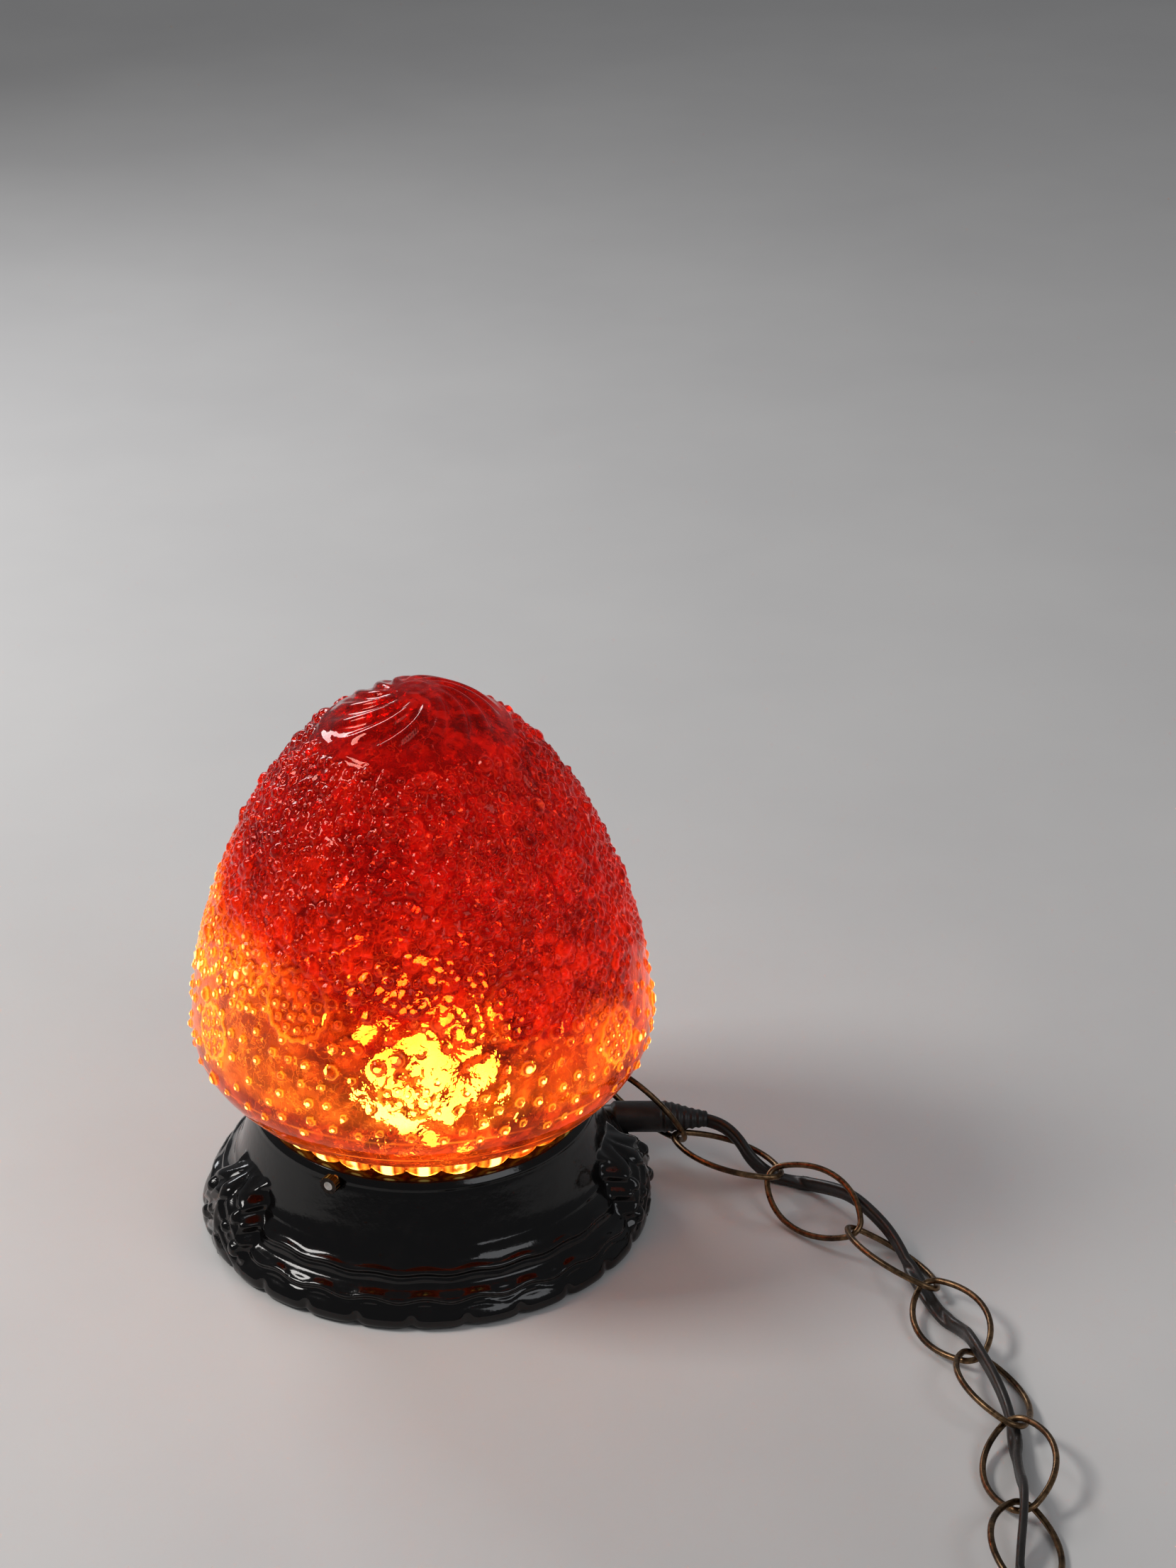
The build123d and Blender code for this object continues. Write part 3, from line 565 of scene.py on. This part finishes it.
S, T = np.meshgrid(s_of, theta, indexing="ij")
Z2 = z_of[:, None] + 0 * T
R2 = r_of[:, None] + 0 * T
# wavy skin between the bubbles
web = (np.sin(T * 47 + 3 * np.sin(S * 0.31)) * np.sin(S * 1.23 + 2.1 * np.sin(T * 9)) +
       0.7 * np.sin(T * 71 + S * 0.9) * np.sin(S * 0.77 - T * 13))
field = step01(104, 118, Z2) * (1 - step01(171, 177, Z2))
disp += 0.26 * web * field
# crown: curved flutes that turn around the tip, and faint rings under them
swirl = np.cos(13 * (T + 0.050 * (R2 - 6.0)))
crown = step01(7.0, 12.0, R2) * (1 - step01(22.0, 28.0, R2)) * (Z2 > 150)
disp += 0.80 * crown * (np.abs(swirl) ** 0.6 * np.sign(swirl) - 0.25) * step01(0, 1, 0.35 + R2 / 40)
disp += (Z2 > 150) * 0.45 * np.exp(-((R2 - 29.8) / 0.8) ** 2)
disp += (Z2 > 150) * 0.22 * np.exp(-((R2 - 32.6) / 0.6) ** 2)
disp += (Z2 > 150) * 0.35 * np.exp(-((R2 - 4.6) / 0.9) ** 2)
# fine rings under the shoulder
for s0, hgt in ((3.0, 0.45), (5.6, 0.35), (8.6, 0.30)):
    disp += hgt * np.exp(-((S - s0) / 0.55) ** 2)
nrm = normals2(prof)
Rv = R2 + nrm[:, 0][:, None] * disp
Zv = Z2 + nrm[:, 1][:, None] * disp
Rv = np.maximum(Rv, 0.05)

# beaded rim below the shoulder, then the neck
ang = np.radians(np.linspace(222, 405, 30))
bead_amount = np.abs(np.cos(15 * (theta + math.radians(87.8)))) ** 0.6
rim_r, rim_z = [], []
for a in ang:
    tube = 5.1 * (0.70 + 0.37 * bead_amount)
    rim_r.append(50.9 + tube * math.cos(a))
    rim_z.append(49.5 + tube * math.sin(a))
rim_r, rim_z = np.asarray(rim_r), np.asarray(rim_z)
neck = np.array([(42.2, 38.5), (43.6, 38.5), (45.0, 38.5), (45.4, 38.7), (45.6, 39.1), (45.6, 41.0), (45.6, 43.5), (45.6, 45.4)])
one = np.ones(N_ROUND)
outer_r = np.vstack([neck[:, 0][:, None] * one, rim_r, (55.9 * one)[None], Rv])
outer_z = np.vstack([neck[:, 1][:, None] * one, rim_z, (52.3 * one)[None], Zv])
deg_ = np.degrees(ang)[:, None]
# the middle of each bead, where the glass's emission puts painted glow
bead_painted_glow = (bead_amount ** 2.2)[None, :] * step01(280, 306, deg_) * (1 - step01(376, 394, deg_))
att_knob = np.vstack([np.zeros((len(neck), N_ROUND)), bead_painted_glow, np.zeros((1, N_ROUND)), knob])
# inside: the outline moved in by the wall's thickness, gently wavy
inner_pts = [(p - 3.6 * n) for p, n in zip(prof, nrm)]
inner_pts = [(max(r, 0.9), zz) for r, zz in inner_pts if zz > 58.6 or r < 40][:-3]
inner_line = [(42.2, 38.5), (41.6, 39.2), (41.6, 44.0), (41.6, 50.0), (42.8, 52.6), (48.0, 54.0), (54.0, 55.4), (61.0, 58.4)]
inner_prof, inner_s = curve_through(inner_line[1:] + inner_pts[2::7] + [(0.9, 186.9)], 1.6)
wave = np.zeros((len(inner_prof), N_ROUND))
for _ in range(12):
    around, along, turn_ = rng.randint(11, 38), rng.uniform(0.05, 0.62) * rng.choice((-1, 1)), rng.uniform(0, 6.28)
    bend = 1.3 * np.sin(rng.randint(3, 8) * theta[None, :] + rng.uniform(0.03, 0.12) * inner_s[:, None] + rng.uniform(0, 6.28))
    wave += 0.27 * np.sin(around * theta[None, :] + along * inner_s[:, None] + turn_ + bend)
wave *= step01(59, 68, inner_prof[:, 1])[:, None] * step01(4, 26, inner_prof[:, 0])[:, None]
inner_r = inner_prof[:, 0][:, None] + wave
inner_z = inner_prof[:, 1][:, None] + 0 * wave
all_r = np.vstack([inner_r[::-1], outer_r])
all_z = np.vstack([inner_z[::-1], outer_z])
att_all = np.vstack([np.zeros_like(inner_r), att_knob])
m_all = len(all_r)
verts = np.stack([all_r * np.cos(theta), all_r * np.sin(theta), all_z], -1).reshape(-1, 3)
faces = grid_faces(m_all, N_ROUND).tolist()
pole_in, pole_out = len(verts), len(verts) + 1
verts = np.vstack([verts, [(0, 0, 186.9)], [(0, 0, 190.55)]])
top = (m_all - 1) * N_ROUND
faces += [[pole_in, (j + 1) % N_ROUND, j] for j in range(N_ROUND)]
faces += [[pole_out, top + j, top + (j + 1) % N_ROUND] for j in range(N_ROUND)]
shade = new_object("shade_glass_body", verts, faces, M_GLASS, True, {"knob": np.r_[att_all.ravel(), 0, 0]})
shade.data.materials.append(M_GLASS_IN)
inner_faces = (len(inner_r) - 2) * N_ROUND
slots_ = np.zeros(len(shade.data.polygons), np.int32)
slots_[:inner_faces] = 1
slots_[(m_all - 1) * N_ROUND:m_all * N_ROUND] = 1
shade.data.polygons.foreach_set("material_index", slots_)
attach(shade, "shade")
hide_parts("glass_shade")

# ------------------------------------------------------------------ cast base
skirt = [
    (67.2, 0.5), (70.2, 0.4), (72.6, 0.4), (74.6, 1.2), (75.0, 3.4), (73.9, 5.8), (72.2, 7.6), (71.3, 9.4),
    (70.6, 11.4), (68.4, 13.4), (67.2, 15.2), (66.4, 17.6), (64.4, 20.2), (61.9, 25.0), (59.8, 31.0),
    (58.0, 36.5), (56.7, 40.5), (55.7, 42.6), (54.7, 43.7), (53.2, 44.0)]
N_BASE = 720
bt = np.arange(N_BASE) * 2 * math.pi / N_BASE
bp, bs = curve_through(skirt, 0.55)
bn = normals2(bp)
BR = bp[:, 0][:, None] + 0 * bt
BZ = bp[:, 1][:, None] + 0 * bt
BT = bt[None, :] + 0 * BR
shift = math.radians(8.5)
out = np.zeros_like(BR)
# petals of the foot, each with a shallow dish
lobe = np.abs(np.sin(13 * (BT + shift)))
out += (-1.15 * (1 - lobe) ** 3.0 + 0.15 * lobe) * (1 - step01(3.6, 6.8, BZ))
# two wavy ridges along the flare, with a sunk band between them
wave_z = 0.65 * np.sin(26 * (BT + shift))
bracket_at = [math.radians(a) for a in (-8.5, 205.5, 98.5)]
away = np.min([np.abs((BT - a + math.pi) % (2 * math.pi) - math.pi) for a in bracket_at], axis=0)
open_ = step01(math.radians(13), math.radians(19), away)
up = 1.25 * np.exp(-((BZ - 16.9 - 0.5 * wave_z) / 0.95) ** 2)
low = 1.35 * np.exp(-((BZ - 9.9 - wave_z) / 0.85) ** 2)
low2 = 0.45 * np.exp(-((BZ - 7.7 - wave_z) / 0.5) ** 2)
mid = 0.35 * np.exp(-((BZ - 14.6 - 0.5 * wave_z) / 0.45) ** 2)
sunk = -0.55 * np.exp(-((BZ - 12.9) / 1.4) ** 2)
out += (up + low + low2 + mid + sunk) * (0.25 + 0.75 * open_)
# the drum's own narrow bead under the glass
out += 0.25 * np.exp(-((BZ - 41.6) / 0.6) ** 2) + 0.18 * np.exp(-((BZ - 22.6) / 0.8) ** 2)
Rb = BR + bn[:, 0][:, None] * out
Zb = np.maximum(BZ + bn[:, 1][:, None] * out, 0.35)
hollow = np.clip(0.35 - out * 0.35, 0, 1)
# carved brackets: leaf, veins and knobs
bz = [0.4, 1.0, 8.0, 16.0, 21.5, 25.4, 28.0, 31.5]
br = [73.4, 74.4, 75.2, 74.7, 72.8, 69.6, 64.6, 59.0]
for a in bracket_at:
    u = ((BT - a + math.pi) % (2 * math.pi) - math.pi) / math.radians(14.0)
    v = BZ
    width = 1.0 - 0.22 * step01(14, 30, v) + 0.05 * np.sin(v * 1.1)
    w = step01(0.0, 0.20, width - np.abs(u)) * (1 - step01(28.0, 31.5, v))
    body = np.interp(v, bz, br)
    vein = 0.5 - 0.5 * np.cos(2 * math.pi * (np.abs(u) * 2.1 + v / 6.4))
    stem = np.exp(-(u / 0.10) ** 2)
    scallop = 0.5 - 0.5 * np.cos(2 * math.pi * (v / 5.1 + 0.2))
    carve = -1.25 * vein * (1 - stem) * (1 - 0.35 * np.abs(u)) + 0.55 * stem - 0.8 * scallop * step01(0.55, 1.0, np.abs(u))
    for uu, vv, rr, hh in ((0, 25.0, 3.3, 2.0), (0.62, 20.6, 2.3, 1.5), (-0.62, 20.6, 2.3, 1.5), (0.68, 9.5, 2.6, 1.5),
                           (-0.68, 9.5, 2.6, 1.5), (0, 5.2, 3.0, 1.2), (0.34, 14.6, 1.7, 1.1), (-0.34, 14.6, 1.7, 1.1)):
        d2 = ((u - uu) * 17.5) ** 2 + (v - vv) ** 2
        dome = np.clip(1 - d2 / rr ** 2, 0, 1) ** 0.6
        carve = np.where(d2 < rr ** 2, np.maximum(carve, -0.9) * (1 - dome) + (hh - 0.6) * dome, carve)
        carve -= 0.55 * np.exp(-((np.sqrt(d2) - rr - 0.35) / 0.45) ** 2)
    full = body + carve
    Rb = Rb * (1 - w) + np.maximum(full, Rb - 0.2) * w
    hollow = hollow * (1 - w) + np.clip(0.30 - carve * 0.45, 0, 1) * w
# rim, bowl, floor web and underside
rest = np.array([(48.2, 44.0), (47.3, 43.7), (47.0, 43.0), (47.0, 35.5), (50.0, 31.0), (52.6, 24.0), (55.0, 16.0), (56.0, 11.5), (54.0, 9.5),
                 (40.0, 9.5), (20.0, 9.5), (6.0, 9.5), (5.2, 9.2), (5.2, 7.2), (6.0, 7.0), (30.0, 7.0), (58.0, 7.0), (60.0, 5.6), (60.0, 2.4), (66.9, 2.4), (67.2, 2.2)])
Rr, Zr = rest[:, 0][:, None] + 0 * bt, rest[:, 1][:, None] + 0 * bt
all_r, all_z = np.vstack([Rb, Rr]), np.vstack([Zb, Zr])
verts = np.stack([all_r * np.cos(bt), all_r * np.sin(bt), all_z], -1).reshape(-1, 3)
faces = grid_faces(len(all_r), N_BASE, wrap_m=True).tolist()
base = new_object("base_cast_body", verts, faces, M_ENAMEL, True, {"hollow": np.vstack([hollow, 0.6 + 0 * Rr]).ravel()})
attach(base, "lamp_base")
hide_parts("base_casting")

# ------------------------------------------------------------------ lamp cord: one line, through the links to the coil
route = [
    (88.5, 28.9, 14.4), (92, 29, 14), (99.7, 25.6, 13.6), (105, 19.3, 12), (109.3, 14.1, 6.6),
    (116.6, 11.6, 1.5), (125.8, 8.4, 1.5), (134.9, -1.6, 5.9), (141.2, -11.5, 9.7),
    (148, -20.9, 8.7), (154.3, -30.2, 5.6), (158.8, -43.1, 1.8), (162.4, -56.4, 1.4),
    (166.4, -68.8, 1.6), (172.3, -80, 4), (173.2, -90.2, 9.3), (179.8, -111.3, 7.4),
    (183.2, -125.2, 1.6), (181.9, -149.5, 3.0), (181.7, -167.9, 11.1), (176.9, -194.3, 1.6),
    (176.6, -214.1, 1.5), (181, -229, 2.0),
]
cx, cy = 152.6, -243.0
col = {1: 19.8, 2: 24.1, 3: 28.4}
row = {1: 2.8, 2: 7.8, 3: 12.8}
order = [(3, 1), (2, 1), (1, 1), (1, 2), (2, 2), (1, 3), (2, 3), (3, 3), (3, 2)]
per_turn = 16
start = math.radians(10.2)
for i in range(int(9.0 * per_turn) + 1):
    turn = i / per_turn
    k0 = min(int(turn), 8)
    f = step01(0.80, 1.0, turn - k0) if k0 < 8 else 0.0
    k1 = min(k0 + 1, 8)
    rad = (col[order[k0][0]] * (1 - f) + col[order[k1][0]] * f) / 0.988
    zz = row[order[k0][1]] * (1 - f) + row[order[k1][1]] * f
    rad += 0.35 * math.sin(2.3 * i + 1.0) * (1 if i > 3 else 0)
    a = start - turn * 2 * math.pi
    route.append((cx + rad * math.cos(a), cy + rad * math.sin(a), float(zz)))
for deg, rad, zz in ((-12, 28.9, 6.9), (-34, 29.6, 6.2), (-57, 30.8, 5.2), (-80, 32.2, 3.9), (-101, 33.4, 2.7)):
    route.append((cx + rad * math.cos(math.radians(deg)), cy + rad * math.sin(math.radians(deg)), zz))
route += [(138.5, -276.0, 2.0), (128.5, -273.0, 2.2), (118.0, -267.2, 4.2), (108.0, -263.0, 7.2), (100.0, -262.0, 8.2), (94.0, -262.0, 8.2)]

line_data = bpy.data.curves.new("cord_line", "CURVE")
line_data.dimensions = "3D"
spline = line_data.splines.new("NURBS")
spline.points.add(len(route) - 1)
for p, c in zip(spline.points, route):
    p.co = (c[0] * MM, c[1] * MM, c[2] * MM, 1)
spline.order_u = 3
spline.use_endpoint_u = True
spline.resolution_u = 7
line_ob = bpy.data.objects.new("cord_line", line_data)
scene.collection.objects.link(line_ob)
bpy.context.view_layer.update()
read = bpy.data.meshes.new_from_object(line_ob.evaluated_get(bpy.context.evaluated_depsgraph_get()))
path = np.array([v.co[:] for v in read.vertices], float)
bpy.data.objects.remove(line_ob)
bpy.data.meshes.remove(read)
keep = np.r_[True, np.linalg.norm(np.diff(path, axis=0), axis=1) > 1e-6]
path = path[keep]
tan = np.gradient(path, axis=0)
tan /= np.linalg.norm(tan, axis=1)[:, None]
side = np.cross((0, 0, 1), tan)
side /= np.linalg.norm(side, axis=1)[:, None]
upv = np.cross(tan, side)
# a flat twin cord: it lies flat where it is down and turns on edge where it rises or is wound
a_half, r_core = 1.20, 1.30
roll = 0.5 * math.pi * step01(1.45, 2.95, path[:, 2] / MM)
cos_, sin_ = np.cos(roll)[:, None], np.sin(roll)[:, None]
wide = side * cos_ + upv * sin_
thin = -side * sin_ + upv * cos_
section = []
for centre, a0_, a1_ in ((a_half, -125, 125), (-a_half, 55, 305)):
    for a in np.radians(np.linspace(a0_, a1_, 11)):
        section.append((centre + r_core * math.cos(a), r_core * math.sin(a)))
section = np.array(section) * MM
rings = path[:, None, :] + wide[:, None, :] * section[None, :, 0, None] + thin[:, None, :] * section[None, :, 1, None]
n_sec = len(section)
verts = rings.reshape(-1, 3) / MM
faces = grid_faces(len(path), n_sec).tolist()
faces += [list(range(n_sec))[::-1], list(range((len(path) - 1) * n_sec, len(path) * n_sec))]
cord = new_object("lamp_cord", verts, faces, M_CORD)
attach(cord, "lamp_base")
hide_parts("cord_run", "cord_coil", "cord_tail")


# ------------------------------------------------------------------ strain relief
def lathe_along(name, rings_, material, n=48, squash=None):
    """Closed tube of (centre, radius) rings whose planes face along X."""
    a = np.arange(n) * 2 * math.pi / n
    vs = []
    for i, (cx_, cy_, cz_, ry, rz) in enumerate(rings_):
        vs.append(np.stack([cx_ + 0 * a, cy_ + ry * np.cos(a), cz_ + rz * np.sin(a)], 1))
    vs = np.vstack(vs)
    m = len(rings_)
    fs = grid_faces(m, n).tolist()
    fs += [list(range(n))[::-1], list(range((m - 1) * n, m * n))]
    return new_object(name, vs, fs, material)


rings_ = [(47.0, 28.6, 15.0, 3.2, 3.2), (47.4, 28.6, 15.0, 3.9, 3.9), (61.5, 28.6, 15.0, 4.1, 4.1), (62.0, 28.6, 15.0, 4.6, 4.6), (62.6, 28.6, 15.0, 5.2, 5.2)]
for xx in np.linspace(63.4, 94.3, 90):
    f = step01(79.5, 94.3, xx) * 0.55 + 0.45 * min(max((xx - 79.5) / 14.8, 0), 1)
    r = 5.35 * (1 - f) + 2.95 * f
    r += 0.20 * math.cos((xx - 78.0) * 2 * math.pi / 2.3) * (1 if 78.5 < xx < 93.2 else 0)
    drop = 0.80 * step01(78, 94.3, xx)
    rings_.append((xx, 28.6 - 0.2 * step01(80, 94.3, xx), 15.0 - drop, r, r * (1 - 0.10 * f)))
rings_.append((94.7, 28.4, 14.2, 2.3, 2.1))
boot = lathe_along("cord_boot", rings_, M_RUBBER)
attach(boot, "lamp_base")
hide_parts("strain_relief")

# ------------------------------------------------------------------ plug
rings_ = []
n = 64
a = np.arange(n) * 2 * math.pi / n
vs = []
xs = [62.2, 62.6, 63.4, 65.0, 68.0] + list(np.linspace(69, 84, 31)) + [86, 88, 90, 91.5, 93, 94.5, 96, 97.5, 98.6, 99.0]
for xx in xs:
    if xx < 65:
        hw, hh = 11.2 + 0.7 * step01(62, 65, xx), 7.3 + 0.6 * step01(62, 65, xx)
    elif xx < 84:
        f = step01(72, 84, xx)
        hw, hh = 11.9 - 2.2 * f, 7.9 - 1.3 * f
    else:
        f = step01(83, 92, xx)
        hw, hh = 9.7 * (1 - f) + 3.6 * f, 6.6 * (1 - f) + 3.4 * f
        if xx > 92:
            f2 = step01(92, 99, xx)
            hw, hh = 3.6 - 0.7 * f2, 3.4 - 0.9 * f2
            hw += 0.25 * math.cos((xx - 92) * 2 * math.pi / 3.0)
    ca, sa = np.cos(a), np.sin(a)
    e = 3.4 if xx < 86 else 2.4
    q = (np.abs(ca) ** e + np.abs(sa) ** e) ** (-1 / e)
    grip = 0.0
    if 70 <= xx <= 83:
        grip = -0.55 * (0.5 - 0.5 * math.cos((xx - 70) * 2 * math.pi / 2.6))
    side_w = step01(0.55, 0.85, np.abs(ca))
    vs.append(np.stack([xx + 0 * a, -262.0 + (hw + grip * side_w) * q * ca, 8.2 + hh * q * sa], 1))
vs = np.vstack(vs)
fs = grid_faces(len(xs), n).tolist() + [list(range(n))[::-1], list(range((len(xs) - 1) * n, len(xs) * n))]
plug = new_object("plug_shell", vs, fs, M_CORD)
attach(plug, "lamp_base")
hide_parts("plug_body")

# ------------------------------------------------------------------ carried-over nodes
finish_of = {
    "bottom_plate": M_ZINC, "plate_screws": M_ZINC, "felt_pad": M_FELT, "lamp_pipe": M_ZINC, "lock_washer": M_ZINC,
    "lock_nut": M_BRASS, "socket_cap": M_BRASS, "socket_insulator": M_PHENOLIC, "screw_shell": M_BRASS,
    "socket_sleeve": M_CARD, "centre_contact": M_BRASS, "terminal_screws": M_BRASS, "bulb_tip": M_INSUL,
    "bulb_base": M_CAP, "bulb_glass": M_BULB, "bulb_stem": M_BULB, "support_wires": M_ZINC, "filament": M_FILAMENT,
    "lead_live": M_LEAD, "lead_neutral": M_LEAD, "chain_links": M_BRONZE, "chain_eye": M_BRONZE, "plug_blades": M_BRASS}
for i in (1, 2, 3):
    finish_of[f"shade_screw_shank_{i}"] = M_ZINC
    finish_of[f"shade_screw_head_{i}"] = M_DARK
for name, m in finish_of.items():
    ob = nodes[name]
    ob.data.materials.clear()
    ob.data.materials.append(m)

# ------------------------------------------------------------------ floor
floor = new_object("studio_floor_sheet", [(-3500, -3500, 0), (3500, -3500, 0), (3500, 5500, 0), (-3500, 5500, 0)], [[0, 1, 2, 3]], M_FLOOR, False)
